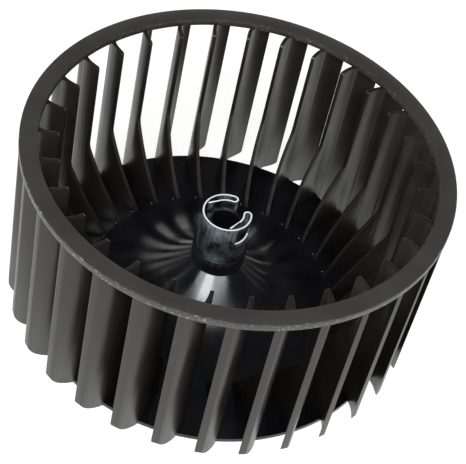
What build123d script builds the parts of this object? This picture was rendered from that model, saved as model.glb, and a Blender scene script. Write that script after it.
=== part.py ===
"""Blower motor wheel: a moulded wheel of forward-curved blades and its spring hub clamp.

The wheel stands on its back plate with the shaft axis on Z and the open inlet ring on top.
Azimuths are measured counter-clockwise from +X, seen from above.
"""
from build123d import *
import math
import os

os.makedirs("parts", exist_ok=True)

# ---------------------------------------------------------------- driving dimensions (mm)
wheel_radius = 98.5        # outside of the inlet ring
wheel_height = 95.5        # standing face to the top of the ring
ring_inner_radius = 90.3   # inlet opening
ring_thickness = 3.5
ring_edge_chamfer = 0.25
plate_radius = 90.0        # the plate passes through the ring's opening in the mould
plate_thickness = 2.1

blade_count = 31
blade_thickness = 1.75
blade_outer_radius = 98.2
blade_inner_radius = 81.0  # straight inner edge, above the knee
blade_land = 1.4           # how far the blades rise inside the ring, above its underside
blade_corner = 3.0         # rounding of the outer bottom corner
blade_inner_corner = 1.2   # rounding of the inner top corner
knee_height = 42.6         # the inner edge slopes inwards below this
knee_rounding = 9.0
foot_radius = 59.1         # where the sloping edge meets the plate
first_blade_azimuth = 200.6

belly_radius = 49.6        # main curve of a blade, seen from above
belly_centre = (82.5, -41.6)
turn_radius = 85.2         # distance from the axis where the tighter outer curve begins
tip_curve_radius = 16.6

pip_radius = 1.0           # domed ejector marks, one beside the foot of each blade
pip_circle_radius = 59.7
pip_lead = 4.8             # degrees ahead of the blade's azimuth

dish_radius = 58.0         # the plate is flat outside this
dish_height = 24.7         # top of the dish, where it meets the collar
dish_slope = 40.0          # degrees; a cone beside the collar that rounds into the flat plate
dish_wall = 2.4
collar_radius = 13.0
collar_top = 33.6          # shoulder that the clamp stands on
sleeve_top = 50.0
sleeve_bottom = 9.0
bore_radius = 6.35         # half-inch motor shaft
slot_width = 1.6
slot_azimuths = (142.5, 217.5, 292.5)
gusset_count = 6
gusset_thickness = 2.0
gusset_reach = 25.0        # radius that the gussets run out to under the dish
root_overlap = 1.0         # how far a gusset runs into the collar, and a blade's curve past its ends

clamp_azimuth = 37.5       # middle of the clamp's open side
clamp_radius = 11.3        # middle of the band
clamp_thickness = 0.8
clamp_bottom = 33.65
clamp_top = 55.6
leaf_radius = 7.9          # middle of the folded-back leaves, where they follow the sleeve
hem_angle = 35.5           # centre of each hem, from the middle of the open side
leaf_turn_angle = 78.0     # where a leaf leaves the curve and runs straight
leaf_gap = 0.3             # between a leaf's end and the band
grip_gap = 0.15            # between a leaf and the sleeve
band_gap = 0.3             # between the band and the sleeve
window_start = 298.0       # window in the band, azimuths and heights
window_end = 350.0
window_bottom = 45.4
window_top = 52.4

# ---------------------------------------------------------------- derived sizes
ring_underside = wheel_height - ring_thickness
blade_top = ring_underside + blade_land
blade_pitch = 360 / blade_count


def polar(radius, degrees):
    """Point in the XY plane at a radius and azimuth."""
    return (radius * math.cos(math.radians(degrees)), radius * math.sin(math.radians(degrees)))


def arc_crossing(centre, radius, distance):
    """Angle on a circle, counter-clockwise side, of its point at a distance from the wheel's axis."""
    centre_distance = math.hypot(*centre)
    cosine = (distance**2 - centre_distance**2 - radius**2) / (2 * centre_distance * radius)
    return math.degrees(math.atan2(centre[1], centre[0]) + math.acos(cosine))


# ---------------------------------------------------------------- inlet ring
with BuildPart() as inlet_ring:
    with BuildSketch(Plane.XY.offset(ring_underside)):
        Circle(wheel_radius)
        Circle(ring_inner_radius, mode=Mode.SUBTRACT)
    extrude(amount=ring_thickness)
    chamfer(inlet_ring.edges().group_by(Axis.Z)[-1], length=ring_edge_chamfer)

# ---------------------------------------------------------------- back plate
# From the flat plate the dish rises in an arc, then as a straight cone up to the collar.
dish_rise = dish_height - plate_thickness
dish_run = dish_radius - collar_radius
slope = math.radians(dish_slope)
dish_arc = (dish_run * math.tan(slope) - dish_rise) / (
    math.sin(slope) * math.tan(slope) - 1 + math.cos(slope)
)
dish_arc_height = plate_thickness + dish_arc
under_arc = dish_arc + dish_wall
under_rim_angle = math.acos(dish_arc_height / under_arc)


def on_dish(radius, angle):
    """Point of a dish arc; the angle runs from the flat plate towards the hub."""
    return (
        dish_radius - radius * math.sin(angle),
        dish_arc_height - radius * math.cos(angle),
    )


def under_dish(radius):
    """Point on the underside of the cone."""
    drop = dish_wall / math.cos(slope) + (radius - collar_radius) * math.tan(slope)
    return (radius, dish_height - drop)


with BuildPart() as back_plate:
    with BuildSketch(Plane.XZ):
        with BuildLine():
            Polyline(
                on_dish(under_arc, under_rim_angle),
                (plate_radius, 0),
                (plate_radius, plate_thickness),
                (dish_radius, plate_thickness),
            )
            ThreePointArc(
                (dish_radius, plate_thickness),
                on_dish(dish_arc, slope / 2),
                on_dish(dish_arc, slope),
            )
            Polyline(
                on_dish(dish_arc, slope),
                (collar_radius, dish_height),
                under_dish(collar_radius),
                on_dish(under_arc, slope),
            )
            ThreePointArc(
                on_dish(under_arc, slope),
                on_dish(under_arc, (slope + under_rim_angle) / 2),
                on_dish(under_arc, under_rim_angle),
            )
        make_face()
    revolve(axis=Axis.Z)
    with Locations((0, 0, plate_thickness)):
        with PolarLocations(pip_circle_radius, blade_count, first_blade_azimuth + pip_lead):
            Sphere(pip_radius)

# ---------------------------------------------------------------- blades
# Seen from above a blade is two arcs that meet without a corner: a gentle belly and a tighter tip.
belly_turn = arc_crossing(belly_centre, belly_radius, turn_radius)
belly_foot = arc_crossing(belly_centre, belly_radius, foot_radius - root_overlap)
turn_direction = (math.cos(math.radians(belly_turn)), math.sin(math.radians(belly_turn)))
tip_centre = (
    belly_centre[0] + (belly_radius - tip_curve_radius) * turn_direction[0],
    belly_centre[1] + (belly_radius - tip_curve_radius) * turn_direction[1],
)
tip_end = arc_crossing(tip_centre, tip_curve_radius, wheel_radius + root_overlap)

with BuildPart() as blade_blank:
    with BuildSketch():
        with BuildLine():
            CenterArc(belly_centre, belly_radius, belly_turn, belly_foot - belly_turn)
            CenterArc(tip_centre, tip_curve_radius, tip_end, belly_turn - tip_end)
        trace(line_width=blade_thickness)
    extrude(amount=wheel_height)
    with BuildSketch(Plane.XZ):
        with BuildLine():
            FilletPolyline(
                (plate_radius, 0),
                (blade_outer_radius, 0),
                (blade_outer_radius, ring_underside),
                radius=blade_corner,
            )
            Polyline(
                (blade_outer_radius, ring_underside),
                (ring_inner_radius, ring_underside),
                (ring_inner_radius, blade_top),
            )
            FilletPolyline(
                (ring_inner_radius, blade_top),
                (blade_inner_radius, blade_top),
                (blade_inner_radius, knee_height),
                (foot_radius, plate_thickness),
                radius=[blade_inner_corner, knee_rounding],
            )
            Polyline(
                (foot_radius, plate_thickness),
                (plate_radius, plate_thickness),
                (plate_radius, 0),
            )
        make_face()
    revolve(axis=Axis.Z, mode=Mode.INTERSECT)

blades = []
for index in range(blade_count):
    azimuth = first_blade_azimuth + index * blade_pitch
    with BuildPart() as blade:
        add(blade_blank.part, rotation=(0, 0, azimuth))
    blade.part.label = f"blade_{index + 1:02d}"
    blades.append(blade)

# ---------------------------------------------------------------- hub
sleeve_radius = clamp_radius - clamp_thickness / 2 - band_gap
recess_radius = leaf_radius - clamp_thickness / 2 - grip_gap
flat_end = leaf_turn_angle + math.degrees(math.acos(recess_radius / sleeve_radius))
gusset_root = collar_radius - root_overlap

with BuildPart() as gussets:
    # everything between the underside of the dish and a line to the collar, cut to radial slabs
    with BuildSketch(Plane.XZ):
        with BuildLine():
            Polyline(
                under_dish(gusset_reach),
                (gusset_root, sleeve_bottom),
                (gusset_root, under_dish(collar_radius)[1]),
                under_dish(collar_radius),
                close=True,
            )
        make_face()
    revolve(axis=Axis.Z)
    with BuildSketch(Plane.XY):
        with PolarLocations(gusset_reach / 2, gusset_count):
            Rectangle(gusset_reach, gusset_thickness)
    extrude(amount=dish_height, mode=Mode.INTERSECT)

with BuildPart() as hub:
    add(gussets.part)
    with BuildSketch(Plane.XY.offset(sleeve_bottom)):
        Circle(collar_radius)
    extrude(amount=collar_top - sleeve_bottom)
    # the sleeve is full on the back and recessed on the clamp's open side
    with BuildSketch(Plane.XY.offset(collar_top)):
        with BuildLine():
            CenterArc(
                (0, 0), sleeve_radius, clamp_azimuth + flat_end, 360 - 2 * flat_end
            )
            Line(
                polar(sleeve_radius, clamp_azimuth - flat_end),
                polar(recess_radius, clamp_azimuth - leaf_turn_angle),
            )
            CenterArc(
                (0, 0), recess_radius, clamp_azimuth - leaf_turn_angle, 2 * leaf_turn_angle
            )
            Line(
                polar(recess_radius, clamp_azimuth + leaf_turn_angle),
                polar(sleeve_radius, clamp_azimuth + flat_end),
            )
        make_face()
    extrude(amount=sleeve_top - collar_top)
    with BuildSketch(Plane.XY.offset(sleeve_bottom)):
        Circle(bore_radius)
    extrude(amount=sleeve_top - sleeve_bottom, mode=Mode.SUBTRACT)
    # slots that let the sleeve close on the shaft
    with BuildSketch(Plane.XY.offset(collar_top)):
        for azimuth in slot_azimuths:
            with Locations(Location((*polar(sleeve_radius, azimuth), 0), (0, 0, azimuth))):
                Rectangle(sleeve_radius, slot_width)
    extrude(amount=sleeve_top - collar_top, mode=Mode.SUBTRACT)

# ---------------------------------------------------------------- hub clamp
hem_radius = (clamp_radius - leaf_radius) / 2
leaf_end_radius = clamp_radius - clamp_thickness - leaf_gap
leaf_straight = math.sqrt(leaf_end_radius**2 - leaf_radius**2)

with BuildPart() as hub_clamp:
    with BuildSketch(Plane.XY.offset(clamp_bottom)):
        with BuildLine():
            CenterArc((0, 0), clamp_radius, clamp_azimuth + hem_angle, 360 - 2 * hem_angle)
            for side in (-1, 1):
                hem_azimuth = clamp_azimuth + side * hem_angle
                turn_azimuth = clamp_azimuth + side * leaf_turn_angle
                CenterArc(
                    polar(leaf_radius + hem_radius, hem_azimuth), hem_radius, hem_azimuth, -180 * side
                )
                CenterArc((0, 0), leaf_radius, hem_azimuth, side * (leaf_turn_angle - hem_angle))
                PolarLine(
                    polar(leaf_radius, turn_azimuth), leaf_straight, turn_azimuth + side * 90
                )
        trace(line_width=clamp_thickness)
    extrude(amount=clamp_top - clamp_bottom)
    with BuildSketch(Plane.XY.offset(window_bottom)):
        with BuildLine():
            CenterArc((0, 0), clamp_radius, window_start, window_end - window_start)
        trace(line_width=2 * clamp_thickness)
    extrude(amount=window_top - window_bottom, mode=Mode.SUBTRACT)

# ---------------------------------------------------------------- write the pieces
inlet_ring.part.label = "inlet_ring"
back_plate.part.label = "back_plate"
hub.part.label = "hub"
hub_clamp.part.label = "hub_clamp"
for piece in (inlet_ring, back_plate, hub, hub_clamp, *blades):
    export_step(piece.part, f"parts/{piece.part.label}.step")
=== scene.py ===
"""Looks of the blower motor wheel: moulded black plastics, a spring-steel clamp and a white studio."""
import math

import bpy
from mathutils import Matrix, Vector


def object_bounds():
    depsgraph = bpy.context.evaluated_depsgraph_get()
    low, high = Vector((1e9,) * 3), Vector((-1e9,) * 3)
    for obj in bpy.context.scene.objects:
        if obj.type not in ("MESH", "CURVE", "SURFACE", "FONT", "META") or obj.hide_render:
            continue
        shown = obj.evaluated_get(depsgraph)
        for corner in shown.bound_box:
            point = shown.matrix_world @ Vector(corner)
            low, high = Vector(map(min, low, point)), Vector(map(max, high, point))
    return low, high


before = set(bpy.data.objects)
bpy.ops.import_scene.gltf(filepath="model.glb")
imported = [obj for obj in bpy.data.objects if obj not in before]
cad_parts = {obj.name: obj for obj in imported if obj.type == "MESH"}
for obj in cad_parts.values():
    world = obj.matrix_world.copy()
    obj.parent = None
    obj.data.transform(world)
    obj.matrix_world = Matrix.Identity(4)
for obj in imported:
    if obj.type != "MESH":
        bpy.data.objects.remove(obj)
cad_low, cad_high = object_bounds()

MM = 0.001

# ------------------------------------------------------------------ camera
CAMERA_TARGET = Vector((5.0, 2.6, 40.0)) * MM
CAMERA_DISTANCE = 681.4 * MM
CAMERA_AZIMUTH = -97.28
CAMERA_ELEVATION = 46.69
CAMERA_ROLL = 13.81
LENS = 110.9
SENSOR = 36.0

# ------------------------------------------------------------------ floor and light
FLOOR_FLAT_RADIUS = 1.6
FLOOR_WALL_RADIUS = 2.6
FLOOR_WALL_HEIGHT = 1.0
FLOOR_CURVE_STEPS = 12
FLOOR_SPOKES = 64
FLOOR_GAP = 0.05 * MM              # between the floor and the standing face
FLOOR_TONE = (0.34, 0.34, 0.34)
FLOOR_ROUGHNESS = 0.9
FLOOR_GLOW_COLOUR = (1.0, 0.995, 0.985)
FLOOR_GLOW = 0.82
ROOM_COLOUR = (0.95, 0.97, 1.0)
ROOM_LEVEL = 0.08
LIGHT_COLOUR = (0.94, 0.975, 1.0)

# ------------------------------------------------------------------ wear and edges
RING_OUTSIDE = 98.5 * MM
RING_OPENING = 90.3 * MM
KNOCKED_DEPTH = 0.6 * MM           # how far in from the ring's outside the knocks reach
OPENING_DEPTH = 0.5 * MM
KNOCK_FADE = 0.4 * MM
OPENING_SHARE = 0.4                # knocks along the opening, against those along the outside
DUST = (0.060, 0.058, 0.054)       # pale film on the mouldings
BARE_EDGE = (0.26, 0.26, 0.25)     # whitened plastic where an edge has been knocked
RING_EDGE = 0.25 * MM
BLADE_EDGE = 0.25 * MM
HUB_EDGE = 0.15 * MM
CLAMP_EDGE = 0.1 * MM
WELD_DISTANCE = 0.001 * MM
SHARP_ANGLE = 35


def direction(azimuth, elevation):
    """Unit vector from the wheel towards an azimuth and elevation in degrees."""
    flat = math.cos(math.radians(elevation))
    return Vector(
        (
            flat * math.cos(math.radians(azimuth)),
            flat * math.sin(math.radians(azimuth)),
            math.sin(math.radians(elevation)),
        )
    )


def place(name, data):
    """New object in the scene that holds some data."""
    item = bpy.data.objects.new(name, data)
    bpy.context.scene.collection.objects.link(item)
    return item


def make_camera():
    """A long lens looking down into the wheel from the front, turned a little about its own axis."""
    back = direction(CAMERA_AZIMUTH, CAMERA_ELEVATION)
    roll = Matrix.Rotation(math.radians(CAMERA_ROLL), 3, "Z").to_quaternion()
    data = bpy.data.cameras.new("camera")
    data.lens = LENS
    data.sensor_width = SENSOR
    camera = place("camera", data)
    camera.rotation_mode = "QUATERNION"
    camera.rotation_quaternion = (-back).to_track_quat("-Z", "Y") @ roll
    camera.location = CAMERA_TARGET + back * CAMERA_DISTANCE
    bpy.context.scene.camera = camera


def floor_profile():
    """Radius and height of the floor from its middle to the top of the wall."""
    profile = [(0.0, 0.0), (FLOOR_FLAT_RADIUS / 2, 0.0)]
    for step in range(FLOOR_CURVE_STEPS + 1):
        turn = step / FLOOR_CURVE_STEPS * math.pi / 2
        radius = FLOOR_FLAT_RADIUS + (FLOOR_WALL_RADIUS - FLOOR_FLAT_RADIUS) * math.sin(turn)
        profile.append((radius, FLOOR_WALL_HEIGHT * (1 - math.cos(turn))))
    return profile


def lathe(name, profile, spokes):
    """Smooth mesh made by turning a profile about Z."""
    vertices = [
        (r * math.cos(k * math.tau / spokes), r * math.sin(k * math.tau / spokes), z)
        for r, z in profile
        for k in range(spokes)
    ]
    faces = []
    for ring in range(len(profile) - 1):
        inner, outer = ring * spokes, (ring + 1) * spokes
        for k in range(spokes):
            following = (k + 1) % spokes
            faces.append((inner + k, inner + following, outer + following, outer + k))
    mesh = bpy.data.meshes.new(name)
    mesh.from_pydata(vertices, [], faces)
    for polygon in mesh.polygons:
        polygon.use_smooth = True
    return mesh


def make_floor():
    """A round, glowing white paper floor that curves up into a low wall all round."""
    material = bpy.data.materials.new("floor_paper")
    material.use_nodes = True
    inputs = material.node_tree.nodes["Principled BSDF"].inputs
    inputs["Base Color"].default_value = (*FLOOR_TONE, 1)
    inputs["Roughness"].default_value = FLOOR_ROUGHNESS
    inputs["Specular IOR Level"].default_value = 0.0
    inputs["Emission Color"].default_value = (*FLOOR_GLOW_COLOUR, 1)
    inputs["Emission Strength"].default_value = FLOOR_GLOW
    floor = place("floor", lathe("floor", floor_profile(), FLOOR_SPOKES))
    floor.location.z = cad_low.z - FLOOR_GAP
    floor.data.materials.append(material)


def soft_light(name, azimuth, elevation, distance, size, power):
    """A rectangular soft light aimed at the wheel; size is (across, up) in metres."""
    data = bpy.data.lights.new(name, "AREA")
    data.shape = "RECTANGLE"
    data.size, data.size_y = size
    data.energy = power
    data.color = LIGHT_COLOUR
    light = place(name, data)
    towards = direction(azimuth, elevation)
    light.location = towards * distance
    light.rotation_mode = "QUATERNION"
    light.rotation_quaternion = towards.to_track_quat("Z", "Y")


def make_studio():
    """A dark room with a broad soft box in front, a smaller one beside it and a weak fill on the left."""
    scene = bpy.context.scene
    scene.world = bpy.data.worlds.new("studio")
    scene.world.use_nodes = True
    background = scene.world.node_tree.nodes["Background"]
    background.inputs["Color"].default_value = (*ROOM_COLOUR, 1)
    background.inputs["Strength"].default_value = ROOM_LEVEL
    soft_light("front_softbox", -93, 53, distance=1.1, size=(1.6, 0.32), power=14.0)
    soft_light("front_key", -106, 54, distance=1.08, size=(0.40, 0.24), power=4.0)
    soft_light("left_fill", -168, 22, distance=1.3, size=(0.9, 0.6), power=2.5)
    scene.view_settings.view_transform = "Standard"
    scene.view_settings.look = "None"


# ------------------------------------------------------------------ material building blocks
class Nodes:
    """Short names for building a material's node tree."""

    def __init__(self, name):
        self.material = bpy.data.materials.new(name)
        self.material.use_nodes = True
        self.tree = self.material.node_tree
        self.shader = self.tree.nodes["Principled BSDF"]
        self.place = self.add("ShaderNodeTexCoord").outputs["Object"]

    def add(self, kind, **settings):
        node = self.tree.nodes.new(kind)
        for key, value in settings.items():
            setattr(node, key, value)
        return node

    def link(self, output, socket):
        self.tree.links.new(output, socket)

    def stretched(self, scale):
        """Coordinates multiplied by a different factor along each axis."""
        mapping = self.add("ShaderNodeMapping")
        mapping.inputs["Scale"].default_value = scale
        self.link(self.place, mapping.inputs["Vector"])
        return mapping.outputs["Vector"]

    def noise(self, scale, detail, roughness=0.5, vector=None):
        noise = self.add("ShaderNodeTexNoise")
        noise.inputs["Scale"].default_value = scale
        noise.inputs["Detail"].default_value = detail
        noise.inputs["Roughness"].default_value = roughness
        self.link(vector or self.place, noise.inputs["Vector"])
        return noise.outputs["Fac"]

    def remap(self, value, low, high, to_low, to_high):
        """Range low to high brought to to_low to to_high, and held at its ends."""
        node = self.add("ShaderNodeMapRange")
        node.inputs["From Min"].default_value = low
        node.inputs["From Max"].default_value = high
        node.inputs["To Min"].default_value = to_low
        node.inputs["To Max"].default_value = to_high
        self.link(value, node.inputs["Value"])
        return node.outputs["Result"]

    def blend(self, factor, first, second):
        """Colour between two colours, either of them a colour or an output."""
        node = self.add("ShaderNodeMix", data_type="RGBA")
        self.link(factor, node.inputs["Factor"])
        for socket, value in (("A", first), ("B", second)):
            target = [s for s in node.inputs if s.name == socket and s.type == "RGBA"][0]
            if isinstance(value, tuple):
                target.default_value = (*value, 1)
            else:
                self.link(value, target)
        return [s for s in node.outputs if s.type == "RGBA"][0]

    def maths(self, operation, first, second):
        node = self.add("ShaderNodeMath", operation=operation)
        for socket, value in zip(node.inputs, (first, second)):
            if isinstance(value, (int, float)):
                socket.default_value = value
            else:
                self.link(value, socket)
        return node.outputs["Value"]

    def average(self, first, second):
        return self.maths("ADD", self.maths("MULTIPLY", first, 0.5), self.maths("MULTIPLY", second, 0.5))

    def axis_distance(self):
        """Distance from the wheel's axis."""
        flat = self.add("ShaderNodeVectorMath", operation="MULTIPLY")
        self.link(self.place, flat.inputs[0])
        flat.inputs[1].default_value = (1, 1, 0)
        length = self.add("ShaderNodeVectorMath", operation="LENGTH")
        self.link(flat.outputs["Vector"], length.inputs[0])
        return length.outputs["Value"]

    def facing_up(self):
        """Vertical part of the surface's direction."""
        parts = self.add("ShaderNodeSeparateXYZ")
        self.link(self.add("ShaderNodeNewGeometry").outputs["Normal"], parts.inputs["Vector"])
        return parts.outputs["Z"]

    def bump(self, height, strength, distance):
        node = self.add("ShaderNodeBump")
        node.inputs["Strength"].default_value = strength
        node.inputs["Distance"].default_value = distance
        self.link(height, node.inputs["Height"])
        self.link(node.outputs["Normal"], self.shader.inputs["Normal"])


# ------------------------------------------------------------------ materials
def knocks(n):
    """Broken-up knocks in narrow bands along the ring's outside and its opening."""
    radius = n.axis_distance()
    outer_start = RING_OUTSIDE - KNOCKED_DEPTH
    outside = n.remap(radius, outer_start, outer_start + KNOCK_FADE, 0.0, 1.0)
    opening_end = RING_OPENING + OPENING_DEPTH
    opening = n.remap(radius, opening_end - KNOCK_FADE, opening_end, OPENING_SHARE, 0.0)
    chips = n.remap(n.noise(650, detail=4, roughness=0.65), 0.58, 0.66, 0.0, 0.9)
    return n.maths("MULTIPLY", n.maths("ADD", outside, opening), chips)


def black_plastic(name, tone, gloss, grain, streaks, dust, ior=1.5, knocked=False):
    """Moulded black plastic.

    gloss is the roughness and how far it wanders, grain the scale and depth of the fine texture,
    streaks the stretch of the flow marks, and dust the strength of the pale film.
    """
    n = Nodes(name)
    cloud = n.noise(45, detail=4)
    fine = n.noise(900, detail=4)
    flow = n.noise(60, detail=3, roughness=0.65, vector=n.stretched(streaks))
    dusty = n.remap(n.maths("MULTIPLY", cloud, fine), 0.16, 0.42, 0.0, dust)
    colour = n.blend(dusty, tone, DUST)
    if knocked:
        colour = n.blend(knocks(n), colour, BARE_EDGE)
    n.link(colour, n.shader.inputs["Base Color"])
    roughness, wander = gloss
    smeared = n.remap(n.average(cloud, flow), 0.3, 0.7, roughness - wander, roughness + wander)
    n.link(n.maths("ADD", smeared, n.maths("MULTIPLY", dusty, 0.3)), n.shader.inputs["Roughness"])
    n.shader.inputs["IOR"].default_value = ior
    grain_scale, grain_depth = grain
    height = n.maths("ADD", n.noise(grain_scale, detail=2), n.maths("MULTIPLY", flow, 0.6))
    n.bump(height, 0.6, grain_depth)
    return n.material


def spring_steel():
    """Bare spring strip: dull streaks up the band, a blue-grey tint, dark spots, and a painted highlight
    on the faces that point up.
    """
    dark_tint, pale_tint = (0.10, 0.13, 0.155), (0.40, 0.45, 0.48)
    # real dark spots, and a near-white painted highlight colour for the faces that point up
    spot_colour, painted_highlight_colour = (0.06, 0.07, 0.07), (0.93, 0.94, 0.95)
    n = Nodes("spring_steel_strip")
    streaks = n.noise(1.0, detail=4, roughness=0.7, vector=n.stretched((900, 900, 110)))
    shade = n.average(streaks, n.noise(230, detail=4))
    tint = n.blend(n.remap(shade, 0.40, 0.60, 0, 1), dark_tint, pale_tint)
    spots = n.remap(n.noise(900, detail=3), 0.62, 0.70, 0.0, 0.8)
    # painted highlight: faces that point up are blended to near white, made less metallic and rougher
    up_facing_highlight = n.remap(n.facing_up(), 0.55, 0.85, 0.0, 1.0)
    face = n.blend(spots, tint, spot_colour)
    n.link(n.blend(up_facing_highlight, face, painted_highlight_colour), n.shader.inputs["Base Color"])
    n.link(n.remap(up_facing_highlight, 0, 1, 1.0, 0.25), n.shader.inputs["Metallic"])
    dull = n.remap(shade, 0.35, 0.65, 0.24, 0.46)
    n.link(n.maths("ADD", dull, n.maths("MULTIPLY", up_facing_highlight, 0.15)), n.shader.inputs["Roughness"])
    n.bump(streaks, 0.4, 0.04 * MM)
    return n.material


# ------------------------------------------------------------------ CAD nodes
def paint(node_name, material):
    """Gives a CAD node its material and returns the node."""
    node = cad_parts[node_name]
    node.data.materials.clear()
    node.data.materials.append(material)
    return node


def round_edges(node, edge_radius):
    """Rounds a node's sharp edges with modifiers."""
    for polygon in node.data.polygons:
        polygon.use_smooth = True
    weld = node.modifiers.new("weld", "WELD")
    weld.merge_threshold = WELD_DISTANCE
    bevel = node.modifiers.new("edge_rounding", "BEVEL")
    bevel.width = edge_radius
    bevel.segments = 2
    bevel.limit_method = "ANGLE"
    bevel.angle_limit = math.radians(SHARP_ANGLE)
    bevel.harden_normals = True


def dress_wheel():
    ring = black_plastic(
        "ring_moulding",
        tone=(0.030, 0.0280, 0.0245),
        gloss=(0.38, 0.07),
        grain=(900, 0.05 * MM),
        streaks=(1, 1, 4),
        dust=0.25,
        knocked=True,
    )
    blade = black_plastic(
        "blade_moulding",
        tone=(0.0098, 0.0080, 0.0060),
        gloss=(0.33, 0.07),
        grain=(700, 0.03 * MM),
        streaks=(6, 6, 0.6),
        dust=0.12,
        ior=1.55,
    )
    plate = black_plastic(
        "plate_moulding",
        tone=(0.0022, 0.0022, 0.0036),
        gloss=(0.19, 0.08),
        grain=(210, 0.06 * MM),
        streaks=(1, 1, 1),
        dust=0.12,
    )
    hub = black_plastic(
        "hub_moulding",
        tone=(0.0022, 0.0023, 0.0034),
        gloss=(0.24, 0.06),
        grain=(500, 0.02 * MM),
        streaks=(3, 3, 1),
        dust=0.06,
    )
    round_edges(paint("inlet_ring", ring), RING_EDGE)
    paint("back_plate", plate)     # the dish keeps the smooth surface it has in the CAD
    round_edges(paint("hub", hub), HUB_EDGE)
    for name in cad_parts:
        if name.startswith("blade_"):
            round_edges(paint(name, blade), BLADE_EDGE)
    round_edges(paint("hub_clamp", spring_steel()), CLAMP_EDGE)


make_camera()
make_floor()
make_studio()
dress_wheel()
